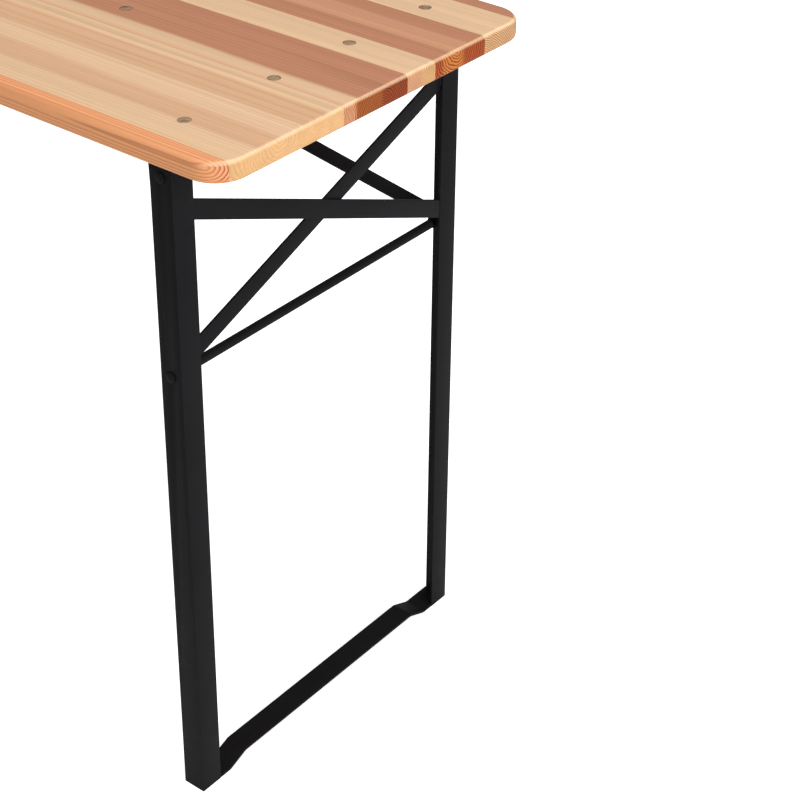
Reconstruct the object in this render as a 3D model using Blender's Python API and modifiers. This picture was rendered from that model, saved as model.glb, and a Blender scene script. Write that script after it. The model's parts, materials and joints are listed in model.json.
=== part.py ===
"""Folding beer-garden table: a laminated wooden top on two folding steel leg frames.

Metres, +Z up. The table stands on z = 0 with its length along X and its width along Y.
End "a" is the +X end. End "b" is the same assembly turned half a turn about Z.
"""

import math

import bmesh
import bpy

# Driving dimensions of the tabletop.
TOP_LENGTH = 1.770
TOP_WIDTH = 0.460
TOP_HEIGHT = 0.770
TOP_THICKNESS = 0.022
CORNER_RADIUS = 0.035
EDGE_RADIUS = 0.005
BOARD_JOINTS = (-0.212, -0.126, -0.0635, 0.030, 0.073, 0.153, 0.209)

# Driving dimensions of the steel leg frames.
END_OVERHANG = 0.075
LEG_SPREAD = 0.425
ANGLE = 0.027
ANGLE_WALL = 0.003
LEG_TOP = 0.737
LEG_CHAMFER = (0.003, 0.008)
BAR_WIDTH = 0.020
BAR_THICKNESS = 0.003
CROSS_BAR_LOW = 0.5405
CROSS_BAR_HIGH = 0.6895
FOOT_THICKNESS = 0.0035
FOOT_RISE = 0.010
FOOT_KINK_FROM_SIDE = (0.042, 0.067)

# Hinge, brace and latch. X is measured inward (negative) from the outer face of the legs.
HINGE_X = -ANGLE / 2
HINGE_Z = 0.728
PIN_RADIUS = 0.004
RAIL_X = (-0.030, -0.004)
EAR_RADIUS = 0.0092
ROD_X = -0.014
ROD_Z = 0.5175
ROD_RADIUS = 0.005
EYE_RADIUS = 0.0068
EYE_LENGTH = 0.018
ARM_START = 0.0034
ARM_WIDTH = 0.018
LATCH_X = -0.2438
LATCH_Z = 0.715
BRACE_PIN_RADIUS = 0.004
BRACE_FOOT_Y = 0.2067
BRACE_TAPER = 0.69
BRACE_TIP_Y = 0.0235
LATCH_WIDTH = 0.024
LATCH_STEEL = 0.002
LATCH_TAIL = 0.014
LATCH_WING = 0.011
LATCH_LIP = (-0.016, -0.006)
SPRING_WIDTH = 0.014
SPRING_STEEL = 0.0008
SPRING_ROOT = 0.012
SPRING_KNEE = 0.003
SPRING_NOSE = (-0.0105, 0.0045)
SPRING_TIP = (0.0065, 0.0045)

# Bends in flat steel, measured to the middle of its thickness.
RAIL_BEND = 0.0040
FOOT_BEND = 0.0090
LATCH_BEND = 0.0020
SPRING_BEND = 0.0015
BEND_STEPS = 5

# Fasteners.
RAIL_BOLT_X = -0.017
RAIL_BOLT_Y = (-0.1755, -0.055, 0.055, 0.1755)
LATCH_BOLT_X = -0.2464
LATCH_BOLT_Y = (-0.0208, 0.0208)
BOLT_RADIUS = 0.003
BOLT_HEAD_RADIUS = 0.0064
BOLT_HEAD_HEIGHT = 0.0020
BOLT_SHANK_PAST_NUT = 0.0015
NUT_RADIUS = 0.0058
NUT_HEIGHT = 0.005
BOLT_HEAD_CONE = 0.0008
RIVET_HEAD_RADIUS = 0.0058
RIVET_HEAD_HEIGHT = 0.0022
# Shape of a rivet's dome, as (share of its radius, share of its height).
RIVET_DOME = ((0.0, 1.0), (0.35, 0.94), (0.65, 0.76), (0.88, 0.48), (1.0, 0.20))

GAP = 0.0003
CUT = 0.010
ROUND_STEPS = 28
CORNER_STEPS = 8
HEX_SIDES = 6
SMOOTH_BELOW = math.radians(35)

UNDERSIDE = TOP_HEIGHT - TOP_THICKNESS
HALF_SPREAD = LEG_SPREAD / 2
FLANGE_INSIDE = HALF_SPREAD - ANGLE_WALL
FLANGE_EDGE = HALF_SPREAD - ANGLE


def clear_scene():
    for obj in list(bpy.data.objects):
        bpy.data.objects.remove(obj)


def new_collection(name):
    collection = bpy.data.collections.new(name)
    bpy.context.scene.collection.children.link(collection)
    return collection


def new_material(name, colour, roughness, metallic):
    material = bpy.data.materials.new(name)
    material.use_nodes = True
    shader = material.node_tree.nodes["Principled BSDF"]
    shader.inputs["Base Color"].default_value = (*colour, 1)
    shader.inputs["Roughness"].default_value = roughness
    shader.inputs["Metallic"].default_value = metallic
    return material


clear_scene()
TABLE = new_collection("folding_table")
CUTTERS = new_collection("cutters")
CUTTERS.hide_render = True

PALE_WOOD = new_material("varnished_pale_wood", (0.76, 0.55, 0.33), 0.35, 0.0)
RED_WOOD = new_material("varnished_red_wood", (0.58, 0.26, 0.12), 0.35, 0.0)
BLACK_STEEL = new_material("black_powder_coat", (0.014, 0.014, 0.015), 0.45, 0.0)
ZINC_STEEL = new_material("zinc_plated_steel", (0.42, 0.38, 0.32), 0.4, 1.0)
SPRING_STEEL_FINISH = new_material("spring_steel", (0.5, 0.5, 0.5), 0.35, 1.0)
BOARD_MATERIALS = (
    RED_WOOD, PALE_WOOD, PALE_WOOD, RED_WOOD, PALE_WOOD, RED_WOOD, PALE_WOOD, RED_WOOD,
)


def add_object(name, data, parent=None, location=(0, 0, 0), rotation=(0, 0, 0), material=None):
    obj = bpy.data.objects.new(name, data)
    TABLE.objects.link(obj)
    obj.parent = parent
    obj.location = location
    obj.rotation_euler = rotation
    if material:
        data.materials.append(material)
    return obj


def as_cutter(obj):
    TABLE.objects.unlink(obj)
    CUTTERS.objects.link(obj)
    obj.hide_render = True
    obj.display_type = "WIRE"
    return obj


def shade_round(mesh):
    for face in mesh.polygons:
        face.use_smooth = True
    mesh.set_sharp_from_angle(angle=SMOOTH_BELOW)


def plate_mesh(name, outline, thickness, bevel=0.0):
    """Mesh of a flat outline in XY, as thick as asked and centred on z = 0."""
    curve = bpy.data.curves.new(name, "CURVE")
    curve.dimensions = "2D"
    curve.fill_mode = "BOTH"
    curve.extrude = thickness / 2 - bevel
    curve.bevel_depth = bevel
    curve.offset = -bevel
    curve.bevel_resolution = 2
    spline = curve.splines.new("POLY")
    spline.points.add(len(outline) - 1)
    for point, (x, y) in zip(spline.points, outline):
        point.co = (x, y, 0, 1)
    spline.use_cyclic_u = True
    holder = bpy.data.objects.new(name + "_outline", curve)
    TABLE.objects.link(holder)
    mesh = bpy.data.meshes.new_from_object(holder)
    bpy.data.objects.remove(holder)
    cage = bmesh.new()
    cage.from_mesh(mesh)
    bmesh.ops.remove_doubles(cage, verts=cage.verts, dist=0.00002)
    bmesh.ops.recalc_face_normals(cage, faces=cage.faces)
    cage.to_mesh(mesh)
    cage.free()
    shade_round(mesh)
    return mesh


def turned_mesh(name, profile):
    """Mesh curve of (radius, z) points, top to bottom down the outer side, for a Screw modifier."""
    mesh = bpy.data.meshes.new(name)
    cage = bmesh.new()
    points = [cage.verts.new((radius, 0, z)) for radius, z in profile]
    for first, second in zip(points, points[1:]):
        cage.edges.new((first, second))
    cage.to_mesh(mesh)
    cage.free()
    return mesh


def turned(name, profile, parent, location, rotation=(0, 0, 0), material=None):
    obj = add_object(name, turned_mesh(name, profile), parent, location, rotation, material)
    screw = obj.modifiers.new("turn", "SCREW")
    screw.axis = "Z"
    screw.steps = ROUND_STEPS
    screw.render_steps = ROUND_STEPS
    screw.use_merge_vertices = True
    screw.merge_threshold = 0.00001
    screw.use_smooth_shade = True
    return obj


def cylinder_mesh(name, radius, depth, segments=ROUND_STEPS):
    mesh = bpy.data.meshes.new(name)
    cage = bmesh.new()
    bmesh.ops.create_cone(
        cage, cap_ends=True, segments=segments, radius1=radius, radius2=radius, depth=depth
    )
    cage.to_mesh(mesh)
    cage.free()
    shade_round(mesh)
    return mesh


def box_mesh(name, low, high):
    mesh = bpy.data.meshes.new(name)
    cage = bmesh.new()
    bmesh.ops.create_cube(cage, size=1)
    for vertex in cage.verts:
        for axis in range(3):
            vertex.co[axis] = low[axis] if vertex.co[axis] < 0 else high[axis]
    cage.to_mesh(mesh)
    cage.free()
    return mesh


def boolean(obj, other, operation="DIFFERENCE"):
    modifier = obj.modifiers.new(other.name, "BOOLEAN")
    modifier.operation = operation
    modifier.solver = "EXACT"
    modifier.object = other


def bore(name, radius, depth, parent, location, rotation=(0, 0, 0)):
    return as_cutter(add_object(name, cylinder_mesh(name, radius, depth), parent, location, rotation))


def arc(centre, radius, start, end, steps):
    """Points along an arc, angles in degrees."""
    return [
        (
            centre[0] + radius * math.cos(math.radians(start + (end - start) * i / steps)),
            centre[1] + radius * math.sin(math.radians(start + (end - start) * i / steps)),
        )
        for i in range(steps + 1)
    ]


def strip(path, thickness, bend):
    """Outline of flat steel of this thickness along a path, each corner rounded to the bend radius."""
    left, right = [], []

    def lay(x, y, heading):
        away = (-math.sin(heading) * thickness / 2, math.cos(heading) * thickness / 2)
        left.append((x + away[0], y + away[1]))
        right.append((x - away[0], y - away[1]))

    headings = [math.atan2(b[1] - a[1], b[0] - a[0]) for a, b in zip(path, path[1:])]
    lay(*path[0], headings[0])
    for corner, before, after in zip(path[1:], headings, headings[1:]):
        turn = math.remainder(after - before, 2 * math.pi)
        back = bend * math.tan(abs(turn) / 2)
        swing = math.copysign(bend, turn)
        start = (corner[0] - back * math.cos(before), corner[1] - back * math.sin(before))
        centre = (start[0] - swing * math.sin(before), start[1] + swing * math.cos(before))
        for i in range(BEND_STEPS + 1):
            heading = before + turn * i / BEND_STEPS
            lay(centre[0] + swing * math.sin(heading), centre[1] - swing * math.cos(heading), heading)
    lay(*path[-1], headings[-1])
    return right + left[::-1]


ALONG_X = (math.pi / 2, 0, math.pi / 2)
ALONG_Y = (math.pi / 2, 0, 0)
AXIS_TO_Y = (-math.pi / 2, 0, 0)


def bolt_profile(head_z, tip_z):
    """Flush-headed bolt from head_z down to tip_z."""
    shoulder = head_z - BOLT_HEAD_HEIGHT
    return [
        (0, head_z),
        (BOLT_HEAD_RADIUS, head_z),
        (BOLT_HEAD_RADIUS, shoulder + BOLT_HEAD_CONE),
        (BOLT_RADIUS, shoulder),
        (BOLT_RADIUS, tip_z),
        (0, tip_z),
    ]


def bolt_recess_profile():
    """Stepped bore through the tabletop, a gap wider than the bolt it takes."""
    seat = TOP_HEIGHT - BOLT_HEAD_HEIGHT - GAP
    return [
        (0, TOP_HEIGHT + CUT),
        (BOLT_HEAD_RADIUS + GAP, TOP_HEIGHT + CUT),
        (BOLT_HEAD_RADIUS + GAP, seat),
        (BOLT_RADIUS + GAP, seat - GAP),
        (BOLT_RADIUS + GAP, UNDERSIDE - CUT),
        (0, UNDERSIDE - CUT),
    ]


def rivet_profile(grip_low, grip_high, radius):
    """Rivet along Z with a domed head past each end of its grip."""
    top = grip_high + GAP
    bottom = grip_low - GAP
    dome = [(r * RIVET_HEAD_RADIUS, h * RIVET_HEAD_HEIGHT) for r, h in RIVET_DOME]
    upper = [(r, top + h) for r, h in dome]
    lower = [(r, bottom - h) for r, h in reversed(dome)]
    neck = [(RIVET_HEAD_RADIUS, top), (radius, top), (radius, bottom), (RIVET_HEAD_RADIUS, bottom)]
    return upper + neck + lower


def build_ends():
    """One empty per end, on the floor under the outer face of its legs."""
    reach = TOP_LENGTH / 2 - END_OVERHANG
    return {
        "a": add_object("end_a", None, location=(reach, 0, 0)),
        "b": add_object("end_b", None, location=(-reach, 0, 0), rotation=(0, 0, math.pi)),
    }


def bolt_places():
    """(name, x, y) of each bolt of one end, in that end's own frame."""
    rail = [(f"rail_{i}", RAIL_BOLT_X, y) for i, y in enumerate(RAIL_BOLT_Y, 1)]
    latch = [(f"latch_{i}", LATCH_BOLT_X, y) for i, y in enumerate(LATCH_BOLT_Y, 1)]
    return rail + latch


def build_top(ends):
    half_x = TOP_LENGTH / 2
    half_y = TOP_WIDTH / 2
    corner_x = half_x - CORNER_RADIUS
    corner_y = half_y - CORNER_RADIUS
    outline = []
    for quarter, (x, y) in enumerate(((1, 1), (-1, 1), (-1, -1), (1, -1))):
        centre = (x * corner_x, y * corner_y)
        outline += arc(centre, CORNER_RADIUS, quarter * 90, quarter * 90 + 90, CORNER_STEPS)
    slab_mesh = plate_mesh("slab", outline, TOP_THICKNESS, EDGE_RADIUS)
    slab = as_cutter(add_object("slab", slab_mesh, None, (0, 0, TOP_HEIGHT - TOP_THICKNESS / 2)))
    bores = []
    recess = bolt_recess_profile()
    for end, empty in ends.items():
        facing = 1 if end == "a" else -1
        for place, x, y in bolt_places():
            cutter = as_cutter(turned(f"bore_{end}_{place}", recess, empty, (x, y, 0)))
            bores.append((facing * y, cutter))
    joints = (-half_y - CUT, *BOARD_JOINTS, half_y + CUT)
    for i, (low, high) in enumerate(zip(joints, joints[1:])):
        name = f"board_{i + 1}"
        box = box_mesh(
            name,
            (-half_x - CUT, low + GAP / 2, UNDERSIDE - CUT),
            (half_x + CUT, high - GAP / 2, TOP_HEIGHT + CUT),
        )
        board = add_object(name, box, material=BOARD_MATERIALS[i])
        boolean(board, slab, "INTERSECT")
        for y, cutter in bores:
            if low < y < high:
                boolean(board, cutter)


def build_fasteners(end, empty):
    for place, x, y in bolt_places():
        kind, number = place.split("_")
        plate = LATCH_STEEL if kind == "latch" else ANGLE_WALL
        nut_top = UNDERSIDE - GAP - plate - GAP
        tip = nut_top - NUT_HEIGHT - BOLT_SHANK_PAST_NUT
        profile = bolt_profile(TOP_HEIGHT - GAP, tip)
        turned(f"{kind}_bolt_{end}_{number}", profile, empty, (x, y, 0), material=ZINC_STEEL)
        name = f"{kind}_nut_{end}_{number}"
        mesh = cylinder_mesh(name, NUT_RADIUS, NUT_HEIGHT, HEX_SIDES)
        nut = add_object(name, mesh, empty, (x, y, nut_top - NUT_HEIGHT / 2), material=ZINC_STEEL)
        thread = bore(f"thread_{end}_{place}", BOLT_RADIUS + GAP, 2 * NUT_HEIGHT, empty, nut.location)
        boolean(nut, thread)


def plate_bore(end, place, empty, location):
    return bore(f"plate_bore_{end}_{place}", BOLT_RADIUS + GAP, CUT, empty, location)


def build_hinge_rail(end, empty):
    """Flat steel across the underside, with an ear turned down inside each leg."""
    name = f"hinge_rail_{end}"
    top = UNDERSIDE - GAP
    outside = FLANGE_INSIDE - GAP
    inside = outside - ANGLE_WALL
    ear_bottom = HINGE_Z - EAR_RADIUS
    middle, level = (outside + inside) / 2, top - ANGLE_WALL / 2
    path = [(-middle, ear_bottom), (-middle, level), (middle, level), (middle, ear_bottom)]
    outline = strip(path, ANGLE_WALL, RAIL_BEND)
    depth = RAIL_X[1] - RAIL_X[0]
    rail = add_object(
        name, plate_mesh(name, outline, depth), empty,
        ((RAIL_X[0] + RAIL_X[1]) / 2, 0, 0), ALONG_X, BLACK_STEEL,
    )
    # The ears keep a rounded tab round the hinge pins; what is beside the tab is cut away.
    tab = arc((HINGE_X, HINGE_Z), EAR_RADIUS, 0, -180, ROUND_STEPS // 2)
    shoulder = top - RAIL_BEND - ANGLE_WALL / 2
    low, beyond = ear_bottom - CUT, 2 * ANGLE
    waste = [(HINGE_X + beyond, shoulder), (HINGE_X + EAR_RADIUS, shoulder), *tab]
    waste += [(HINGE_X - EAR_RADIUS, shoulder), (HINGE_X - beyond, shoulder)]
    waste += [(HINGE_X - beyond, low), (HINGE_X + beyond, low)]
    cutter = add_object(
        f"ear_waste_{end}", plate_mesh("ear_waste", waste, LEG_SPREAD + CUT), empty, (0, 0, 0), ALONG_Y
    )
    boolean(rail, as_cutter(cutter))
    for place, x, y in bolt_places():
        if place.startswith("rail"):
            boolean(rail, plate_bore(end, place, empty, (x, y, top)))
    hole = bore(f"ear_bore_{end}", PIN_RADIUS + GAP, LEG_SPREAD, empty, (HINGE_X, 0, HINGE_Z), AXIS_TO_Y)
    boolean(rail, hole)
    for side, facing in (("front", -1), ("rear", 1)):
        profile = rivet_profile(inside, HALF_SPREAD, PIN_RADIUS)
        turn = (-facing * math.pi / 2, 0, 0)
        turned(f"hinge_pin_{end}_{side}", profile, empty, (HINGE_X, 0, HINGE_Z), turn, BLACK_STEEL)


def build_latch(end, empty):
    """Drop bracket with an open hook for the brace's pin, and the spring leaf over the pin."""
    name = f"latch_bracket_{end}"
    top = UNDERSIDE - GAP
    strap = LATCH_X + BRACE_PIN_RADIUS + GAP + LATCH_STEEL / 2
    saddle = LATCH_Z - BRACE_PIN_RADIUS - GAP - LATCH_STEEL / 2
    path = [
        (LATCH_BOLT_X - LATCH_TAIL, top - LATCH_STEEL / 2), (strap, top - LATCH_STEEL / 2),
        (strap, saddle), (LATCH_X, saddle), (LATCH_X + LATCH_LIP[0], saddle + LATCH_LIP[1]),
    ]
    width = 2 * (LATCH_BOLT_Y[1] + LATCH_WING)
    mesh = plate_mesh(name, strip(path, LATCH_STEEL, LATCH_BEND), width)
    bracket = add_object(name, mesh, empty, (0, 0, 0), ALONG_Y, BLACK_STEEL)
    for facing in (-1, 1):
        inner, outer = sorted((facing * LATCH_WIDTH / 2, facing * width))
        low = (path[-1][0] - CUT, inner, path[-1][1] - CUT)
        high = (strap + CUT, outer, top - LATCH_STEEL - GAP)
        waste = add_object(f"hook_waste_{end}_{facing}", box_mesh("hook_waste", low, high), empty)
        boolean(bracket, as_cutter(waste))
    for place, x, y in bolt_places():
        if place.startswith("latch"):
            boolean(bracket, plate_bore(end, place, empty, (x, y, top)))

    name = f"latch_spring_{end}"
    level = top - LATCH_STEEL - GAP - SPRING_STEEL / 2
    nose = (LATCH_X + SPRING_NOSE[0], LATCH_Z + SPRING_NOSE[1] + SPRING_STEEL / 2)
    path = [
        (LATCH_BOLT_X - SPRING_ROOT, level), (LATCH_BOLT_X - SPRING_KNEE, level), nose,
        (nose[0] + SPRING_TIP[0], nose[1] + SPRING_TIP[1]),
    ]
    mesh = plate_mesh(name, strip(path, SPRING_STEEL, SPRING_BEND), SPRING_WIDTH)
    add_object(name, mesh, empty, (0, 0, 0), ALONG_Y, SPRING_STEEL_FINISH)


def leg_outline(facing):
    """L section of one leg in XY, heel outward, about the fold axis."""
    heel = (-HINGE_X, facing * HALF_SPREAD)
    inner = (heel[0] - ANGLE_WALL, heel[1] - facing * ANGLE_WALL)
    rear = heel[0] - ANGLE
    edge = heel[1] - facing * ANGLE
    points = [
        heel, (rear, heel[1]), (rear, inner[1]), inner, (inner[0], edge), (heel[0], edge),
    ]
    return points if facing > 0 else points[::-1]


def build_leg_frame(end, fold):
    """Two angle-steel legs, two crossing bars, the foot bar and the brace rod."""
    down = -HINGE_Z
    rod = (ROD_X - HINGE_X, 0, ROD_Z - HINGE_Z)
    pin_hole = bore(f"pin_hole_{end}", PIN_RADIUS + GAP, LEG_SPREAD + CUT, fold, (0, 0, 0), AXIS_TO_Y)
    rod_hole = bore(f"rod_hole_{end}", ROD_RADIUS + GAP, LEG_SPREAD + CUT, fold, rod, AXIS_TO_Y)
    rear = -HINGE_X - ANGLE
    top = LEG_TOP - HINGE_Z
    corner = [
        (rear - CUT, top - LEG_CHAMFER[1] * (1 + CUT / LEG_CHAMFER[0])),
        (rear + LEG_CHAMFER[0], top), (rear + LEG_CHAMFER[0], top + CUT), (rear - CUT, top + CUT),
    ]
    chamfer = as_cutter(add_object(
        f"leg_chamfer_{end}", plate_mesh("leg_chamfer", corner, LEG_SPREAD + CUT), fold, (0, 0, 0), ALONG_Y
    ))
    for side, facing in (("front", -1), ("rear", 1)):
        name = f"leg_{end}_{side}"
        mesh = plate_mesh(name, leg_outline(facing), LEG_TOP)
        leg = add_object(name, mesh, fold, (0, 0, down + LEG_TOP / 2), material=BLACK_STEEL)
        for cutter in (pin_hole, rod_hole, chamfer):
            boolean(leg, cutter)

    # Bar 1 fills the space between the legs' edges; bar 2 laps behind them and behind bar 1.
    slope = (CROSS_BAR_HIGH - CROSS_BAR_LOW) / (2 * FLANGE_EDGE)
    half = BAR_WIDTH / 2 * math.hypot(1, slope)
    middle = (CROSS_BAR_HIGH + CROSS_BAR_LOW) / 2 - HINGE_Z
    front_x = -HINGE_X - BAR_THICKNESS / 2
    bars = (
        ("cross_bar_1", -slope, FLANGE_EDGE - GAP, front_x - GAP),
        ("cross_bar_2", slope, FLANGE_INSIDE - GAP, front_x - BAR_THICKNESS - 2 * GAP),
    )
    for kind, rise, reach, x in bars:
        name = f"{kind}_{end}"
        outline = [
            (-reach, middle - rise * reach - half), (reach, middle + rise * reach - half),
            (reach, middle + rise * reach + half), (-reach, middle - rise * reach + half),
        ]
        add_object(
            name, plate_mesh(name, outline, BAR_THICKNESS), fold, (x, 0, 0), ALONG_X, BLACK_STEEL
        )

    name = f"foot_bar_{end}"
    reach = FLANGE_INSIDE - GAP
    outer_kink, inner_kink = (HALF_SPREAD - distance for distance in FOOT_KINK_FROM_SIDE)
    heights = ((reach, 0), (outer_kink, 0), (inner_kink, FOOT_RISE))
    half_path = [(y, z + FOOT_THICKNESS / 2) for y, z in heights]
    path = [(-y, z) for y, z in half_path] + half_path[::-1]
    mesh = plate_mesh(name, strip(path, FOOT_THICKNESS, FOOT_BEND), ANGLE)
    foot = add_object(name, mesh, fold, (0, 0, down), ALONG_X, BLACK_STEEL)
    for facing in (-1, 1):
        y_low, y_high = sorted((facing * (FLANGE_EDGE - GAP), facing * LEG_SPREAD))
        low = (-HINGE_X - ANGLE_WALL - GAP, y_low, down - CUT)
        high = (ANGLE, y_high, down + CUT)
        notch = add_object(f"foot_notch_{end}_{facing}", box_mesh("foot_notch", low, high), fold)
        boolean(foot, as_cutter(notch))

    profile = rivet_profile(-HALF_SPREAD, HALF_SPREAD, ROD_RADIUS)
    turned(f"brace_rod_{end}", profile, fold, rod, AXIS_TO_Y, BLACK_STEEL)


def build_brace(end, swing):
    """Two flat arms that run from eyes on the rod to the pin held by the latch."""
    run = ROD_X - LATCH_X
    rise = LATCH_Z - ROD_Z
    length = math.hypot(run, rise)
    tilt = math.atan2(rise, run)
    # In an arm's own plane, x is the table's Y and y runs from the rod to the pin.
    half = ARM_WIDTH / 2 * math.hypot(1, BRACE_TAPER)
    inside = FLANGE_INSIDE - 2 * GAP
    pin_length = BRACE_TIP_Y + ARM_WIDTH / 2
    bend = (BRACE_FOOT_Y - BRACE_TIP_Y) / BRACE_TAPER
    turn = ARM_WIDTH / 2 * math.tan(math.atan(BRACE_TAPER) / 2)
    tip = length - BRACE_PIN_RADIUS - GAP

    def edge(distance, offset):
        return BRACE_FOOT_Y - BRACE_TAPER * distance + offset

    outer_meets_side = (BRACE_FOOT_Y + half - inside) / BRACE_TAPER
    right = [
        (edge(ARM_START, -half), ARM_START), (inside, ARM_START), (inside, outer_meets_side),
        (BRACE_TIP_Y + ARM_WIDTH / 2, bend + turn), (BRACE_TIP_Y + ARM_WIDTH / 2, tip),
        (BRACE_TIP_Y - ARM_WIDTH / 2, tip), (BRACE_TIP_Y - ARM_WIDTH / 2, bend - turn),
    ]
    flat = (tilt, 0, math.pi / 2)
    for side, facing in (("front", -1), ("rear", 1)):
        name = f"brace_arm_{end}_{side}"
        outline = [(facing * y, w) for y, w in right][::facing]
        mesh = plate_mesh(name, outline, BAR_THICKNESS)
        arm = add_object(name, mesh, swing, (0, 0, 0), flat, BLACK_STEEL)
        centre = facing * (inside - EYE_LENGTH / 2)
        eye = cylinder_mesh("eye", EYE_RADIUS, EYE_LENGTH)
        eye = as_cutter(add_object(f"eye_{name}", eye, swing, (0, centre, 0), AXIS_TO_Y))
        boolean(arm, eye, "UNION")
        hole = bore(f"eye_bore_{name}", ROD_RADIUS + GAP, 4 * EYE_LENGTH, swing, (0, centre, 0), AXIS_TO_Y)
        boolean(arm, hole)
    profile = [
        (0, pin_length), (BRACE_PIN_RADIUS, pin_length),
        (BRACE_PIN_RADIUS, -pin_length), (0, -pin_length),
    ]
    turned(f"brace_pin_{end}", profile, swing, (-run, 0, rise), AXIS_TO_Y, ZINC_STEEL)


def main():
    ends = build_ends()
    build_top(ends)
    for end, empty in ends.items():
        fold = add_object(f"fold_axis_{end}", None, empty, (HINGE_X, 0, HINGE_Z))
        swing = add_object(f"brace_axis_{end}", None, fold, (ROD_X - HINGE_X, 0, ROD_Z - HINGE_Z))
        build_hinge_rail(end, empty)
        build_latch(end, empty)
        build_fasteners(end, empty)
        build_leg_frame(end, fold)
        build_brace(end, swing)


main()
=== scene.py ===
"""Folding beer-garden table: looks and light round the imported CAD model.

Metres, +Z up. The tabletop's length runs along X. End "a" is the +X end, nearest the camera.
"""

import json
import math

import bmesh
import bpy
from mathutils import Matrix, Vector

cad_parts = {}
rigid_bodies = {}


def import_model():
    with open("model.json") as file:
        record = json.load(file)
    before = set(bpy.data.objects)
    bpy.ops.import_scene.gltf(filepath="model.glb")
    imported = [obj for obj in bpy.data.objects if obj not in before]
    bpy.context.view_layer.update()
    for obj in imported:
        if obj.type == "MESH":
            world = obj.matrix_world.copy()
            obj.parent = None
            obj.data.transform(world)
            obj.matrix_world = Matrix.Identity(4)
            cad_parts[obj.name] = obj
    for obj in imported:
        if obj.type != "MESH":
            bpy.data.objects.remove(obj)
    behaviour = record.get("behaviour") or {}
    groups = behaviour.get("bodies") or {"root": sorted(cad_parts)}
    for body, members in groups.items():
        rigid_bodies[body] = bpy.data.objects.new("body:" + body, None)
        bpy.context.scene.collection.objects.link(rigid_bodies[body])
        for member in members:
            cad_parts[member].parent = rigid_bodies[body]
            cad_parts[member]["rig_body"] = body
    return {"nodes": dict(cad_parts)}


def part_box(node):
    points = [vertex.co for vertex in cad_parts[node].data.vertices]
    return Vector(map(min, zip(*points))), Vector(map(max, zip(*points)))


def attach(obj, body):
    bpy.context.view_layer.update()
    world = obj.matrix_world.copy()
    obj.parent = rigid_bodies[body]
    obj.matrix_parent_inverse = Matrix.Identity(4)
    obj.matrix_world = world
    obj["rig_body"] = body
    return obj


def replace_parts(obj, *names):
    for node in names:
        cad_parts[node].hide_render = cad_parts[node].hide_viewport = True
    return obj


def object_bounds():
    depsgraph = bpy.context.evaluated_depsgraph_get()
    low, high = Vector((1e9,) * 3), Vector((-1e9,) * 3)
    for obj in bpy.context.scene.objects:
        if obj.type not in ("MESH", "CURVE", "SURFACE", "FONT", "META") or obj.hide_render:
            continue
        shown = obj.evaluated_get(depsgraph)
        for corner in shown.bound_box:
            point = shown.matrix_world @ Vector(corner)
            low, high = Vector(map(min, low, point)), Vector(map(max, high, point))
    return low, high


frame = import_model()
CAD_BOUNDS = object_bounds()
ENDS = {"a": 1, "b": -1}

# Tabletop, as in the CAD model.
CORNER_RADIUS = 0.035
EDGE_RADIUS = 0.005
CORNER_STEPS = 20
EDGE_STEPS = 7
GLUE_GAP = 0.00004

# Flat steel: how far the arrises of heavy, thin and spring steel are rounded.
CRISP_EDGE = 0.0006
THIN_EDGE = 0.0003
SPRING_EDGE = 0.00015
EDGE_SEGMENTS = 3
MERGE_WITHIN = 0.000002
SHARP_ABOVE = math.radians(30)
FLAT_BELOW = math.radians(0.5)
STEEL_WALL = 0.003
FOOT_THICKNESS = 0.0035

# Bolts, rivets, rods and pins. A crown point is (share of the radius, rise above the rim).
ROUND_STEPS = 48
BORE_GAP = 0.0003
BOLT_RADIUS = 0.003
BOLT_HEAD_HEIGHT = 0.0020
BOLT_HEAD_CONE = 0.0008
BOLT_RIM = 0.0004
BOLT_RIM_BREAK = 0.3
BOLT_CROWN = ((0.55, 0.00006), (0, 0.0001))
THREAD_PITCH = 0.0010
THREAD_DEPTH = 0.0003
THREAD_LENGTH = 0.0085
THREAD_CREST = (0.45, 0.60)
RIVET_HEAD_HEIGHT = 0.0022
RIVET_RIM = 0.22
DOME_STEPS = 8
ROD_RADIUS = 0.005
PIN_RADIUS = 0.004

# Nuts.
HEX_SIDES = 6
STEPS_PER_SIDE = 8
NUT_CHAMFER = math.radians(30)
NUT_FACE_SHARE = 0.985
NUT_RIM = 0.0001
NUT_SHARP_ABOVE = math.radians(25)

# Weld beads. Reaches are measured inward from the outer face of a leg's end flange.
BEAD_RADIUS = 0.0017
BEAD_TIP = 0.05
BEAD_AROUND = 12
BEAD_SHARP_ABOVE = math.radians(60)
RIPPLE_LENGTH = 0.0026
RIPPLE_STEPS = 6
RIPPLE_HEIGHT = 0.16
RIPPLE_POWER = 0.6
WOBBLE_HEIGHT = 0.10
WOBBLE_TURN = 7.3 / 3
WOBBLE_SHIFT = 900
CROSS_BEAD_HALF = 0.0098
CROSS_BEAD_REACH = {"cross_bar_1": 0.0022, "cross_bar_2": 0.0040}
FOOT_BEAD_REACH = (0.024, 0.005)
FOOT_BEAD_GAPS = (0.003, 0.002)

# Camera.
CAMERA_SENSOR = 36
CAMERA_CLIP = (0.05, 100)
CAMERA_PLACE = (1.9291, -1.3105, 1.5140)
CAMERA_YAW = math.radians(37.462)
CAMERA_PITCH = math.radians(29.431)
CAMERA_ROLL = math.radians(0.927)
CAMERA_LENS = 88.39
CAMERA_SHIFT = (-0.0235, -0.1573)

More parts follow.
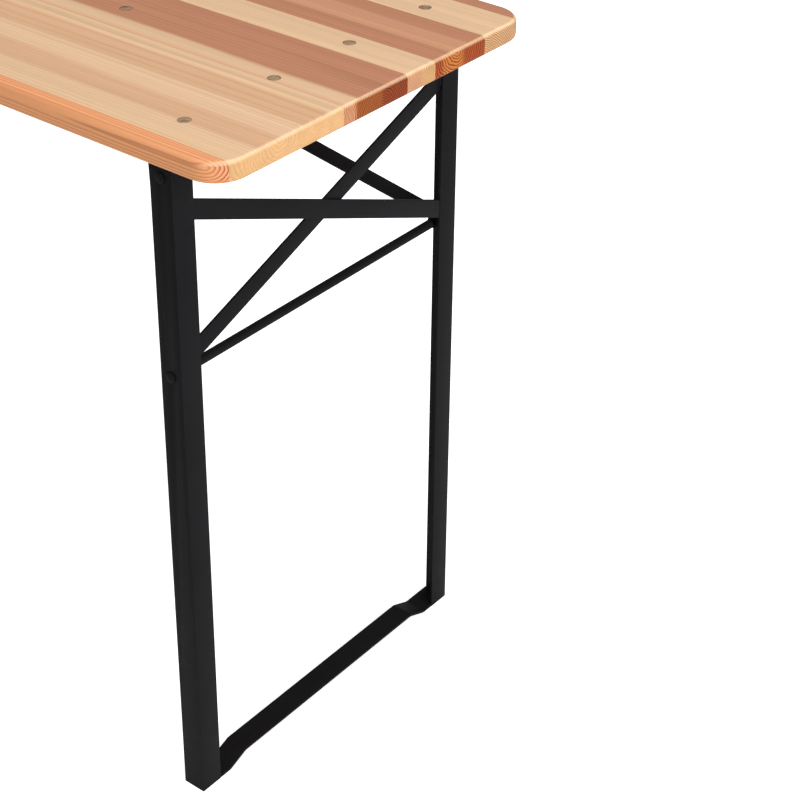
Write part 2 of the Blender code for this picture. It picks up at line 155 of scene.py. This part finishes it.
# Floor and light: the studio's even glow, then (name, place, target, size, watts) of each soft box.
FLOOR_RADIUS = 14
FLOOR_STEPS = 96
FLOOR_DROP = 0.0002
STUDIO_LIGHT = 0.34
FLOOR_GLOW = 0.62
AREA_LIGHTS = (
    ("overhead", (0.3, -0.3, 3.2), (0.4, 0, 0.7), (3.0, 2.4), 50),
    ("end_side", (3.3, 0.1, 1.5), (0.8, 0, 0.4), (1.6, 1.8), 64),
    ("front_side", (0.6, -3.2, 1.6), (0.6, 0, 0.6), (2.6, 1.4), 20),
)


def linear(colour):
    """Linear RGB of a hex colour."""
    parts = [int(colour[i : i + 2], 16) / 255 for i in (1, 3, 5)]
    return tuple(c / 12.92 if c <= 0.04045 else ((c + 0.055) / 1.055) ** 2.4 for c in parts)


class Material:
    """A Principled material with short calls for wiring its nodes."""

    def __init__(self, name, **settings):
        self.material = bpy.data.materials.new(name)
        self.material.use_nodes = True
        self.tree = self.material.node_tree
        self.shader = self.tree.nodes["Principled BSDF"]
        for socket, value in settings.items():
            self.shader.inputs[socket.replace("_", " ")].default_value = value
        coordinates = self.tree.nodes.new("ShaderNodeTexCoord")
        self.place = coordinates.outputs["Object"]
        self.normal = coordinates.outputs["Normal"]

    def put(self, socket, value):
        if isinstance(value, bpy.types.NodeSocket):
            self.tree.links.new(value, socket)
        else:
            socket.default_value = value

    def math(self, operation, *values):
        node = self.tree.nodes.new("ShaderNodeMath")
        node.operation = operation
        for socket, value in zip(node.inputs, values):
            self.put(socket, value)
        return node.outputs[0]

    def split(self, vector):
        node = self.tree.nodes.new("ShaderNodeSeparateXYZ")
        self.put(node.inputs[0], vector)
        return node.outputs

    def scaled(self, factors, shift=(0, 0, 0)):
        node = self.tree.nodes.new("ShaderNodeMapping")
        self.put(node.inputs["Vector"], self.place)
        node.inputs["Scale"].default_value = factors
        node.inputs["Location"].default_value = shift
        return node.outputs[0]

    def noise(self, vector, scale=1.0, detail=2.0, roughness=0.5):
        node = self.tree.nodes.new("ShaderNodeTexNoise")
        self.put(node.inputs["Vector"], vector)
        for name, value in (("Scale", scale), ("Detail", detail), ("Roughness", roughness)):
            node.inputs[name].default_value = value
        return node.outputs["Fac"]

    def cells(self, vector, scale):
        node = self.tree.nodes.new("ShaderNodeTexVoronoi")
        self.put(node.inputs["Vector"], vector)
        node.inputs["Scale"].default_value = scale
        return node.outputs["Distance"]

    def between(self, value, low, high, out_low=0.0, out_high=1.0, smooth=True):
        node = self.tree.nodes.new("ShaderNodeMapRange")
        node.interpolation_type = "SMOOTHSTEP" if smooth else "LINEAR"
        for socket, item in zip(node.inputs, (value, low, high, out_low, out_high)):
            self.put(socket, item)
        return node.outputs[0]

    def ramp(self, value, stops):
        node = self.tree.nodes.new("ShaderNodeValToRGB")
        self.put(node.inputs[0], value)
        elements = node.color_ramp.elements
        while len(elements) < len(stops):
            elements.new(1.0)
        for element, (position, colour) in zip(elements, stops):
            element.position = position
            element.color = (*colour, 1) if isinstance(colour, tuple) else (colour, colour, colour, 1)
        return node.outputs[0]

    def mix(self, factor, first, second, blend="MIX"):
        node = self.tree.nodes.new("ShaderNodeMix")
        node.data_type = "RGBA"
        node.blend_type = blend
        self.put(node.inputs[0], factor)
        for socket, colour in zip(node.inputs[6:8], (first, second)):
            self.put(socket, (*colour, 1) if isinstance(colour, tuple) else colour)
        return node.outputs[2]

    def bump(self, height, distance, strength=1.0, normal=None):
        node = self.tree.nodes.new("ShaderNodeBump")
        self.put(node.inputs["Height"], height)
        node.inputs["Distance"].default_value = distance
        node.inputs["Strength"].default_value = strength
        if normal is not None:
            self.put(node.inputs["Normal"], normal)
        return node.outputs[0]

    def finish(self, **links):
        for socket, value in links.items():
            self.put(self.shader.inputs[socket.replace("_", " ")], value)
        return self.material


# ---------------------------------------------------------------- materials

PALE = linear("#DAB592")
TAN = linear("#CFA480")
RED_BROWN = linear("#B67D60")
RED_BROWN_LIGHT = linear("#C48E6F")
ORANGE = linear("#E8A070")
END_YELLOW = linear("#CFA272")
END_PINK = linear("#CD946B")
END_ROSE = linear("#CB9873")
END_BROWN = linear("#9F5520")
END_DARK = linear("#8B3C0F")
END_RED = linear("#BF7331")
END_RUST = linear("#A24B1A")
END_ORANGE = linear("#EAA074")
END_PALE = linear("#C89D73")
LATE_WOOD = linear("#823A18")
# Painted highlight: a pale colour laid on the upward-facing rounded arrises at the board ends.
ARRIS_HIGHLIGHT = linear("#F8DDB6")
PATCH_TINT = (0.93, 0.98, 0.86)
BAND_BLUR = 0.0030

COAT_DEEP = linear("#0E0D0F")
COAT_BROAD = linear("#19181A")
COAT_MOTTLE = linear("#222123")
COAT_DUST = linear("#7C766E")
ZINC_LIGHT, ZINC_DARK = linear("#B79C7C"), linear("#7E6A52")
SPRING_LIGHT, SPRING_DARK = linear("#B4B4B2"), linear("#7C7C7A")

# Each board: growth-ring centre (y, z), ring width, ring contrast along and across the grain,
# then colour bands as (upper y, colour) for long grain and for end grain. The last band has no limit.
BOARDS = {
    1: ((-0.2260, 0.7630), 0.0030, 0.40, 0.90, ((None, ORANGE),), ((None, END_ORANGE),)),
    2: (
        (-0.150, 0.772), 0.0042, 0.12, 0.16,
        ((-0.1787, PALE), (-0.1487, TAN), (None, PALE)), ((None, END_YELLOW),),
    ),
    3: (
        (-0.060, 0.660), 0.0030, 0.16, 0.16,
        ((-0.1147, PALE), (-0.0807, TAN), (None, PALE)), ((None, END_YELLOW),),
    ),
    4: (
        (-0.009, 0.747), 0.0024, 0.22, 1.0,
        ((-0.0585, TAN), (-0.0400, PALE), (None, RED_BROWN)),
        ((-0.0460, END_PINK), (-0.008, END_BROWN), (None, END_DARK)),
    ),
    5: ((0.135, 0.725), 0.0021, 0.12, 0.75, ((None, PALE),), ((0.052, END_ROSE), (None, END_YELLOW))),
    6: (
        (0.1065, 0.769), 0.0032, 0.22, 1.0,
        ((0.100, RED_BROWN), (0.128, RED_BROWN_LIGHT), (None, RED_BROWN)),
        ((0.085, END_RUST), (0.118, END_RED), (None, END_RUST)),
    ),
    7: ((0.120, 0.700), 0.0021, 0.12, 0.80, ((None, PALE),), ((None, END_PALE),)),
    8: ((0.180, 0.690), 0.0022, 0.20, 0.60, ((None, RED_BROWN),), ((None, END_RED),)),
}


def band_stops(bands, low, high):
    """Colour-ramp stops across a board, each band blurred into the next."""
    stops = [(0.0, bands[0][1])]
    for (limit, colour), (_, following) in zip(bands, bands[1:]):
        place = (limit - low) / (high - low)
        blur = BAND_BLUR / (high - low)
        stops += [(place - blur, colour), (place + blur, following)]
    return stops + [(1.0, bands[-1][1])]


def wood(number):
    """Varnished wood: growth rings round a lengthwise axis, so long grain and end grain agree."""
    pith, ring, along, across, long_bands, end_bands = BOARDS[number]
    low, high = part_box(f"board_{number}")
    m = Material(
        f"varnished_wood_{number}", Coat_Weight=0.05, Coat_Roughness=0.25, Specular_IOR_Level=0.14
    )
    x, y, z = m.split(m.place)
    shift = (number * 3.1, number * 7.7, number * 5.3)
    slow = m.scaled((1.3, 14, 14), shift)
    wander = m.math("MULTIPLY_ADD", m.noise(slow, detail=3), 0.016, -0.008)
    sway = m.math("MULTIPLY_ADD", m.noise(m.scaled((1.3, 9, 9), shift[::-1]), detail=2), 0.012, -0.006)
    side = m.math("ADD", m.math("SUBTRACT", y, pith[0]), wander)
    rise = m.math("ADD", m.math("SUBTRACT", z, pith[1]), sway)
    squares = m.math("ADD", m.math("MULTIPLY", side, side), m.math("MULTIPLY", rise, rise))
    radius = m.math("SQRT", squares)
    uneven = m.noise(m.scaled((0.5, 90, 90), shift), detail=1)
    rings = m.math("ADD", m.math("DIVIDE", radius, ring), m.math("MULTIPLY", uneven, 1.6))
    late = m.ramp(
        m.math("FRACT", rings), [(0.0, 0.0), (0.34, 0.08), (0.66, 0.62), (0.86, 1.0), (1.0, 0.0)]
    )
    fibres = m.noise(m.scaled((5, 620, 620), shift), detail=3, roughness=0.6)
    pores = m.noise(m.scaled((60, 1500, 1500), shift), detail=2, roughness=0.7)
    streaks = m.noise(m.scaled((1.1, 75, 75), shift), detail=4, roughness=0.62)
    facing = m.math("ABSOLUTE", m.split(m.normal)[0])
    end = m.between(facing, 0.50, 0.86)

    drift = m.math("MULTIPLY_ADD", m.noise(slow, scale=1.7, detail=2), 0.010, -0.005)
    across_board = m.between(m.math("ADD", y, drift), low.y, high.y, smooth=False)
    long_tone = m.ramp(across_board, band_stops(long_bands, low.y, high.y))
    end_share = m.between(y, low.y, high.y, smooth=False)
    end_tone = m.ramp(end_share, band_stops(end_bands, low.y, high.y))
    tone = m.mix(end, long_tone, end_tone)
    amount = m.math("MULTIPLY", late, m.between(end, 0, 1, along, across, smooth=False))
    dark = m.mix(1.0, tone, LATE_WOOD, "MULTIPLY")
    colour = m.mix(amount, tone, dark)
    patches = m.between(m.noise(m.scaled((2.2, 26, 26), shift[::-1]), detail=3), 0.36, 0.66)
    colour = m.mix(m.math("MULTIPLY", patches, 0.5), colour, m.mix(1.0, colour, PATCH_TINT, "MULTIPLY"))
    # Painted highlight: the upper rounded end arrises are lightened where the overhead light catches
    # them.
    arris_highlight = m.math("MULTIPLY", m.between(facing, 0.22, 0.45), m.between(facing, 0.98, 0.75))
    arris_highlight = m.math("MULTIPLY", arris_highlight, m.between(m.split(m.normal)[2], 0.1, 0.4))
    colour = m.mix(m.math("MULTIPLY", arris_highlight, 0.35), colour, ARRIS_HIGHLIGHT)
    shade = m.math("MULTIPLY_ADD", streaks, 0.34, 0.83)
    shade = m.math("MULTIPLY", shade, m.math("MULTIPLY_ADD", fibres, 0.26, 0.87))
    shade = m.math("MULTIPLY", shade, m.math("MULTIPLY_ADD", pores, 0.16, 0.92))
    scaled = m.tree.nodes.new("ShaderNodeVectorMath")
    scaled.operation = "SCALE"
    m.put(scaled.inputs[0], colour)
    m.put(scaled.inputs["Scale"], shade)

    relief = m.math("ADD", m.math("MULTIPLY", late, 0.5), fibres)
    rough = m.math("MULTIPLY_ADD", streaks, 0.22, m.math("MULTIPLY_ADD", end, 0.12, 0.30))
    return m.finish(
        Base_Color=scaled.outputs[0],
        Roughness=m.math("ADD", rough, m.math("MULTIPLY", pores, 0.08)),
        Normal=m.bump(relief, 0.00012, 0.6),
    )


def powder_coat(name):
    """Black satin powder coat: orange peel and faint dust."""
    m = Material(name, Specular_IOR_Level=0.04)
    broad = m.noise(m.place, scale=9, detail=3)
    mottle = m.noise(m.place, scale=70, detail=4, roughness=0.6)
    peel = m.cells(m.place, 1250)
    grit = m.noise(m.place, scale=2600, detail=2)
    dust = m.between(m.noise(m.place, scale=420, detail=3, roughness=0.7), 0.66, 0.80)
    colour = m.mix(broad, COAT_DEEP, COAT_BROAD)
    colour = m.mix(m.math("MULTIPLY", mottle, 0.35), colour, COAT_MOTTLE)
    colour = m.mix(m.math("MULTIPLY", dust, 0.03), colour, COAT_DUST)
    rough = m.math("MULTIPLY_ADD", mottle, 0.22, 0.36)
    rough = m.math("ADD", rough, m.math("MULTIPLY", dust, 0.12))
    bump = m.bump(peel, 0.00005, 0.5)
    return m.finish(Base_Color=colour, Roughness=rough, Normal=m.bump(grit, 0.00002, 0.4, bump))


def plated(name, light, dark, roughness):
    """Dull plated steel with cloudy patches and fine scuffs."""
    m = Material(name, Metallic=0.55, Specular_IOR_Level=0.3)
    cloud = m.noise(m.place, scale=160, detail=4, roughness=0.6)
    spots = m.between(m.noise(m.place, scale=900, detail=3, roughness=0.7), 0.55, 0.75)
    scuffs = m.noise(m.scaled((300, 2400, 900)), detail=3, roughness=0.7)
    colour = m.mix(m.between(cloud, 0.3, 0.7), light, dark)
    colour = m.mix(m.math("MULTIPLY", spots, 0.5), colour, dark)
    rough = m.math("MULTIPLY_ADD", cloud, 0.25, roughness)
    height = m.math("ADD", scuffs, m.math("MULTIPLY", spots, 0.6))
    return m.finish(
        Base_Color=colour,
        Roughness=m.math("ADD", rough, m.math("MULTIPLY", scuffs, 0.08)),
        Normal=m.bump(height, 0.00004, 0.5),
    )


def floor_material():
    m = Material("pale_floor", Roughness=0.9, Specular_IOR_Level=0.1)
    cloud = m.noise(m.place, scale=3, detail=3)
    colour = m.mix(cloud, (0.93, 0.93, 0.93), (0.96, 0.96, 0.96))
    m.shader.inputs["Emission Color"].default_value = (1, 1, 1, 1)
    glow = m.tree.nodes.new("ShaderNodeLightPath").outputs["Is Camera Ray"]
    return m.finish(Base_Color=colour, Emission_Strength=m.math("MULTIPLY", glow, FLOOR_GLOW))


# ---------------------------------------------------------------- geometry

def to_mesh(name, cage, smooth_below=SHARP_ABOVE):
    bmesh.ops.recalc_face_normals(cage, faces=cage.faces)
    mesh = bpy.data.meshes.new(name)
    cage.to_mesh(mesh)
    cage.free()
    for face in mesh.polygons:
        face.use_smooth = True
    mesh.set_sharp_from_angle(angle=smooth_below)
    return mesh


def place_piece(name, mesh, node, materials):
    """The piece that stands for a CAD node, on that node's body."""
    mesh.materials.clear()  # also puts every face back on the first material
    for material in materials:
        mesh.materials.append(material)
    piece = bpy.data.objects.new(name, mesh)
    bpy.context.scene.collection.objects.link(piece)
    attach(piece, frame["nodes"][node]["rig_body"])
    return piece


def stand_in(node, mesh, materials):
    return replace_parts(place_piece(f"{node}_finish", mesh, node, materials), node)


def refined_mesh(node, rounding):
    """A CAD node's own shape with its arrises rounded."""
    cage = bmesh.new()
    cage.from_mesh(frame["nodes"][node].data)
    bmesh.ops.remove_doubles(cage, verts=cage.verts, dist=MERGE_WITHIN)
    bmesh.ops.dissolve_limit(cage, angle_limit=FLAT_BELOW, verts=cage.verts, edges=cage.edges)
    sharp = [
        edge for edge in cage.edges
        if len(edge.link_faces) == 2 and edge.calc_face_angle() > SHARP_ABOVE
    ]
    bmesh.ops.bevel(
        cage, geom=sharp, offset=rounding, segments=EDGE_SEGMENTS, profile=0.5,
        affect="EDGES", clamp_overlap=True,
    )
    return to_mesh(node, cage)


def lathe(cage, profile, centre, axis="Z"):
    """Adds a closed turned body to a cage: (radius, height) points, first and last on the axis."""
    rings = []
    for radius, height in profile:
        ring = []
        for i in range(ROUND_STEPS if radius else 1):
            angle = 2 * math.pi * i / ROUND_STEPS
            point = Vector((radius * math.cos(angle), radius * math.sin(angle), height))
            if axis == "Y":
                point = Vector((point.x, point.z, -point.y))
            ring.append(cage.verts.new(point + centre))
        rings.append(ring)
    for lower, upper in zip(rings, rings[1:]):
        for i in range(ROUND_STEPS):
            corners = [lower[i % len(lower)], lower[(i + 1) % len(lower)]]
            corners += [upper[(i + 1) % len(upper)], upper[i % len(upper)]]
            kept = list(dict.fromkeys(corners))
            if len(kept) > 2:
                cage.faces.new(kept)


def middle_and_size(node):
    low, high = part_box(node)
    return (low + high) / 2, high - low


def slab_cage(low, high):
    """The whole tabletop: round corners in plan and round arrises above and below."""
    cage = bmesh.new()
    quarter = [math.pi / 2 * i / EDGE_STEPS for i in range(EDGE_STEPS + 1)]
    levels = [
        (EDGE_RADIUS * (1 - math.sin(t)), low.z + EDGE_RADIUS * (1 - math.cos(t))) for t in quarter
    ]
    levels += [(inset, high.z + low.z - z) for inset, z in reversed(levels)]
    rings = []
    for inset, z in levels:
        ring = []
        for side, (sx, sy) in enumerate(((1, 1), (-1, 1), (-1, -1), (1, -1))):
            for i in range(CORNER_STEPS + 1):
                angle = math.pi / 2 * (side + i / CORNER_STEPS)
                reach = CORNER_RADIUS - inset
                ring.append(cage.verts.new((
                    sx * (high.x - CORNER_RADIUS) + reach * math.cos(angle),
                    sy * (high.y - CORNER_RADIUS) + reach * math.sin(angle),
                    z,
                )))
        rings.append(ring)
    for lower, upper in zip(rings, rings[1:]):
        for i in range(len(lower)):
            following = (i + 1) % len(lower)
            cage.faces.new((lower[i], lower[following], upper[following], upper[i]))
    cage.faces.new(rings[0][::-1])
    cage.faces.new(rings[-1])
    return cage


def cut_across(cage, y, facing):
    """Keeps what lies on the inner side of a plane across Y and closes the cut."""
    geometry = cage.verts[:] + cage.edges[:] + cage.faces[:]
    cut = bmesh.ops.bisect_plane(
        cage, geom=geometry, plane_co=(0, y, 0), plane_no=(0, facing, 0), clear_outer=True
    )
    edges = [item for item in cut["geom_cut"] if isinstance(item, bmesh.types.BMEdge)]
    bmesh.ops.edgeloop_fill(cage, edges=edges)


def recess_cutter():
    """Every bolt's stepped bore through the tabletop, as one cutter object."""
    cage = bmesh.new()
    top, under = CAD_BOUNDS[1].z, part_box("board_1")[0].z
    for node in frame["nodes"]:
        if "_bolt_" not in node:
            continue
        centre, size = middle_and_size(node)
        head = size.x / 2 + BORE_GAP
        shank = BOLT_RADIUS + BORE_GAP
        seat = top - BOLT_HEAD_HEIGHT - BORE_GAP
        profile = [
            (0, under - head), (shank, under - head), (shank, seat - BORE_GAP), (head, seat),
            (head, top + head), (0, top + head),
        ]
        lathe(cage, profile, Vector((centre.x, centre.y, 0)))
    cutter = bpy.data.objects.new("recesses", to_mesh("recesses", cage))
    bpy.context.scene.collection.objects.link(cutter)
    return cutter


def build_boards():
    low = Vector((CAD_BOUNDS[0].x, CAD_BOUNDS[0].y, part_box("board_1")[0].z))
    cutter = recess_cutter()
    limits = [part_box(f"board_{number}") for number in BOARDS]
    for number, (first, last) in zip(BOARDS, limits):
        cage = slab_cage(low, CAD_BOUNDS[1])
        if number > 1:
            joint = (limits[number - 2][1].y + first.y) / 2
            cut_across(cage, joint + GLUE_GAP, -1)
        if number < len(BOARDS):
            joint = (last.y + limits[number][0].y) / 2
            cut_across(cage, joint - GLUE_GAP, 1)
        node = f"board_{number}"
        piece = stand_in(node, to_mesh(node, cage), [wood(number)])
        boolean = piece.modifiers.new("recesses", "BOOLEAN")
        boolean.operation = "DIFFERENCE"
        boolean.solver = "EXACT"
        boolean.object = cutter
        bpy.context.view_layer.update()
        evaluated = piece.evaluated_get(bpy.context.evaluated_depsgraph_get())
        mesh = bpy.data.meshes.new_from_object(evaluated)
        piece.modifiers.clear()
        piece.data = mesh
        for face in mesh.polygons:
            face.use_smooth = True
        mesh.set_sharp_from_angle(angle=SHARP_ABOVE)
    bpy.data.objects.remove(cutter)


def bolt_profile(radius, low, high):
    """Flush head with a rolled rim and a threaded lower shank."""
    root = BOLT_RADIUS - THREAD_DEPTH
    points = [(0, low), (root, low), (root, low + THREAD_DEPTH)]
    for i in range(int(THREAD_LENGTH / THREAD_PITCH)):
        z = low + THREAD_DEPTH + THREAD_PITCH * i
        points += [(BOLT_RADIUS, z + THREAD_PITCH * share) for share in THREAD_CREST]
        points.append((root, z + THREAD_PITCH))
    seat = high - BOLT_HEAD_HEIGHT
    nick = BOLT_RIM * BOLT_RIM_BREAK
    points += [(BOLT_RADIUS, seat), (radius, seat + BOLT_HEAD_CONE), (radius, high - BOLT_RIM)]
    points += [(radius - nick, high - nick), (radius - BOLT_RIM, high)]
    return points + [(radius * share, high + rise) for share, rise in BOLT_CROWN]


def riveted_profile(core, radius, reach):
    """A round bar with a domed head at each end."""
    shoulder = reach - RIVET_HEAD_HEIGHT
    upper = [(core, shoulder), (radius, shoulder)]
    for i in range(DOME_STEPS):
        angle = math.pi / 2 * i / DOME_STEPS
        rise = RIVET_RIM + (1 - RIVET_RIM) * math.sin(angle)
        upper.append((radius * math.cos(angle), shoulder + RIVET_HEAD_HEIGHT * rise))
    upper.append((0, reach))
    return [(r, -height) for r, height in reversed(upper)] + upper


def pin_profile(radius, reach):
    """A plain pin with its ends' arrises broken."""
    upper = [(radius, reach - CRISP_EDGE), (radius - CRISP_EDGE, reach), (0, reach)]
    return [(r, -height) for r, height in reversed(upper)] + upper


def build_turned(coat, zinc):
    """Bolts, hinge pins, the brace rods and their pins."""
    for node in list(frame["nodes"]):
        centre, size = middle_and_size(node)
        radius, reach = size.x / 2, size.y / 2
        axis, slot, finish = "Y", "zinc_steel", zinc
        if "_bolt_" in node:
            low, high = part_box(node)
            profile, axis = bolt_profile(radius, low.z, high.z), "Z"
            centre = Vector((centre.x, centre.y, 0))
        elif node.startswith(("hinge_pin", "brace_rod")):
            slot, finish = "black_steel", coat
            core = ROD_RADIUS if node.startswith("brace_rod") else PIN_RADIUS
            profile = riveted_profile(core, radius, reach)
        elif node.startswith("brace_pin"):
            profile = pin_profile(radius, reach)
        else:
            continue
        cage = bmesh.new()
        lathe(cage, profile, centre, axis)
        stand_in(node, to_mesh(node, cage), [finish])


def nut_mesh(name, centre, size):
    """Hexagon nut, chamfered above and below, with a round hole."""
    cage = bmesh.new()
    corner, half = size.y / 2, size.z / 2
    flat = corner * math.cos(math.pi / HEX_SIDES)
    drop = (corner - flat) * math.tan(NUT_CHAMFER)
    hole, face = BOLT_RADIUS + BORE_GAP / 2, flat * NUT_FACE_SHARE
    steps = HEX_SIDES * STEPS_PER_SIDE
    rings = [[] for _ in range(6)]
    for i in range(steps):
        angle = 2 * math.pi * i / steps + math.pi / 2
        within = math.remainder(angle - math.pi / 2 - math.pi / HEX_SIDES, 2 * math.pi / HEX_SIDES)
        edge = flat / math.cos(within)
        side = half - NUT_RIM - drop * (edge - flat) / (corner - flat)
        section = ((hole, half), (face, half), (edge, side), (edge, -side), (face, -half), (hole, -half))
        for ring, (radius, z) in zip(rings, section):
            point = Vector((radius * math.cos(angle), radius * math.sin(angle), z))
            ring.append(cage.verts.new(centre + point))
    for first, second in zip(rings, rings[1:] + rings[:1]):
        for i in range(len(first)):
            following = (i + 1) % len(first)
            cage.faces.new((first[i], first[following], second[following], second[i]))
    return to_mesh(name, cage, NUT_SHARP_ABOVE)


def build_nuts(zinc):
    for node in list(frame["nodes"]):
        if "_nut_" in node:
            centre, size = middle_and_size(node)
            stand_in(node, nut_mesh(node, centre, size), [zinc])


def bead(cage, start, end):
    """A weld bead: a rippled tube between two points, pinched at both ends."""
    start, end = Vector(start), Vector(end)
    along = (end - start).normalized()
    across = along.orthogonal().normalized()
    other = along.cross(across)
    length = (end - start).length
    ripples = max(2, round(length / RIPPLE_LENGTH))
    steps = ripples * RIPPLE_STEPS
    rings = []
    for i in range(steps + 1):
        share = i / steps
        taper = math.sin(math.pi * min(1, share * ripples / 2, (1 - share) * ripples / 2) / 2)
        ripple = 1 + RIPPLE_HEIGHT * abs(math.sin(math.pi * share * ripples)) ** RIPPLE_POWER
        wobble = 1 + WOBBLE_HEIGHT * math.sin(WOBBLE_TURN * share * ripples + WOBBLE_SHIFT * start.z)
        size = BEAD_RADIUS * max(BEAD_TIP, taper * ripple * wobble)
        centre = start + along * (length * share)
        ring = []
        for k in range(BEAD_AROUND):
            angle = 2 * math.pi * k / BEAD_AROUND
            spoke = across * math.cos(angle) + other * math.sin(angle)
            ring.append(cage.verts.new(centre + size * spoke))
        rings.append(ring)
    for first, second in zip(rings, rings[1:]):
        for k in range(BEAD_AROUND):
            following = (k + 1) % BEAD_AROUND
            cage.faces.new((first[k], first[following], second[following], second[k]))
    cage.faces.new(rings[0][::-1])
    cage.faces.new(rings[-1])


def build_welds(coat):
    """Weld beads where the crossing bars and the foot bar meet the legs."""
    for end, facing in ENDS.items():
        cage = bmesh.new()
        leg_low, leg_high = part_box(f"leg_{end}_front")
        outer = leg_high.x if facing > 0 else leg_low.x
        heel = max(abs(leg_low.y), abs(leg_high.y))
        edge = heel - (leg_high.y - leg_low.y)
        side = heel - STEEL_WALL
        half = CROSS_BEAD_HALF
        for kind, reach in CROSS_BEAD_REACH.items():
            low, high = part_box(f"{kind}_{end}")
            x = outer - facing * reach
            rising = (kind == "cross_bar_2") == (facing > 0)
            for y, upper in ((edge, rising), (-edge, not rising)):
                z = high.z - half if upper else low.z + half
                if kind == "cross_bar_2":
                    slope = (high.z - low.z - 2 * half) / (high.y - low.y)
                    z += (-1 if upper else 1) * slope * (side - edge)
                bead(cage, (x, y, z - half), (x, y, z + half))
        far, near = (outer - facing * reach for reach in FOOT_BEAD_REACH)
        inside = outer - facing * STEEL_WALL
        for turn in (1, -1):
            start, stop = turn * (side - FOOT_BEAD_GAPS[0]), turn * (edge + FOOT_BEAD_GAPS[1])
            bead(cage, (far, turn * side, FOOT_THICKNESS), (near, turn * side, FOOT_THICKNESS))
            bead(cage, (inside, start, FOOT_THICKNESS), (inside, stop, FOOT_THICKNESS))
        name = f"weld_beads_{end}"
        mesh = to_mesh(name, cage, BEAD_SHARP_ABOVE)
        place_piece(name, mesh, f"foot_bar_{end}", [coat])


def build_flat_steel(coat, spring):
    for node in list(frame["nodes"]):
        if node.startswith(("leg_", "cross_bar", "foot_bar", "brace_arm")):
            stand_in(node, refined_mesh(node, CRISP_EDGE), [coat])
        elif node.startswith(("hinge_rail", "latch_bracket")):
            stand_in(node, refined_mesh(node, THIN_EDGE), [coat])
        elif node.startswith("latch_spring"):
            stand_in(node, refined_mesh(node, SPRING_EDGE), [spring])


# ---------------------------------------------------------------- scene

def build_camera():
    data = bpy.data.cameras.new("camera")
    data.sensor_width = CAMERA_SENSOR
    data.lens = CAMERA_LENS
    data.shift_x, data.shift_y = CAMERA_SHIFT
    data.clip_start, data.clip_end = CAMERA_CLIP
    camera = bpy.data.objects.new("camera", data)
    bpy.context.scene.collection.objects.link(camera)
    turn = Matrix.Rotation(CAMERA_YAW, 4, "Z") @ Matrix.Rotation(math.pi / 2 - CAMERA_PITCH, 4, "X")
    camera.matrix_world = Matrix.Translation(CAMERA_PLACE) @ turn @ Matrix.Rotation(CAMERA_ROLL, 4, "Z")
    bpy.context.scene.camera = camera


def area_light(name, place, target, size, power):
    data = bpy.data.lights.new(name, "AREA")
    data.shape = "RECTANGLE"
    data.size, data.size_y = size
    data.energy = power
    light = bpy.data.objects.new(name, data)
    bpy.context.scene.collection.objects.link(light)
    light.location = place
    light.rotation_euler = (Vector(target) - Vector(place)).to_track_quat("-Z", "Y").to_euler()


def build_studio():
    cage = bmesh.new()
    bmesh.ops.create_circle(cage, cap_ends=True, segments=FLOOR_STEPS, radius=FLOOR_RADIUS)
    floor = bpy.data.objects.new("floor", to_mesh("floor", cage))
    floor.data.materials.append(floor_material())
    floor.location.z = CAD_BOUNDS[0].z - FLOOR_DROP
    bpy.context.scene.collection.objects.link(floor)
    world = bpy.data.worlds.new("studio")
    bpy.context.scene.world = world
    world.use_nodes = True
    background = world.node_tree.nodes["Background"]
    seen = world.node_tree.nodes.new("ShaderNodeBackground")
    for node, strength in ((background, STUDIO_LIGHT), (seen, 1.0)):
        node.inputs["Color"].default_value = (1, 1, 1, 1)
        node.inputs["Strength"].default_value = strength
    path = world.node_tree.nodes.new("ShaderNodeLightPath")
    blend = world.node_tree.nodes.new("ShaderNodeMixShader")
    output = world.node_tree.nodes["World Output"]
    for start, finish in (
        (path.outputs["Is Camera Ray"], blend.inputs[0]), (background.outputs[0], blend.inputs[1]),
        (seen.outputs[0], blend.inputs[2]), (blend.outputs[0], output.inputs["Surface"]),
    ):
        world.node_tree.links.new(start, finish)
    for name, place, target, size, power in AREA_LIGHTS:
        area_light(name, place, target, size, power)
    scene = bpy.context.scene
    scene.view_settings.view_transform = "Standard"
    scene.view_settings.look = "None"


def main():
    coat = powder_coat("black_powder_coat")
    zinc = plated("dull_zinc", ZINC_LIGHT, ZINC_DARK, 0.42)
    spring = plated("spring_steel", SPRING_LIGHT, SPRING_DARK, 0.26)
    build_camera()
    build_boards()
    build_flat_steel(coat, spring)
    build_turned(coat, zinc)
    build_nuts(zinc)
    build_welds(coat)
    build_studio()


main()
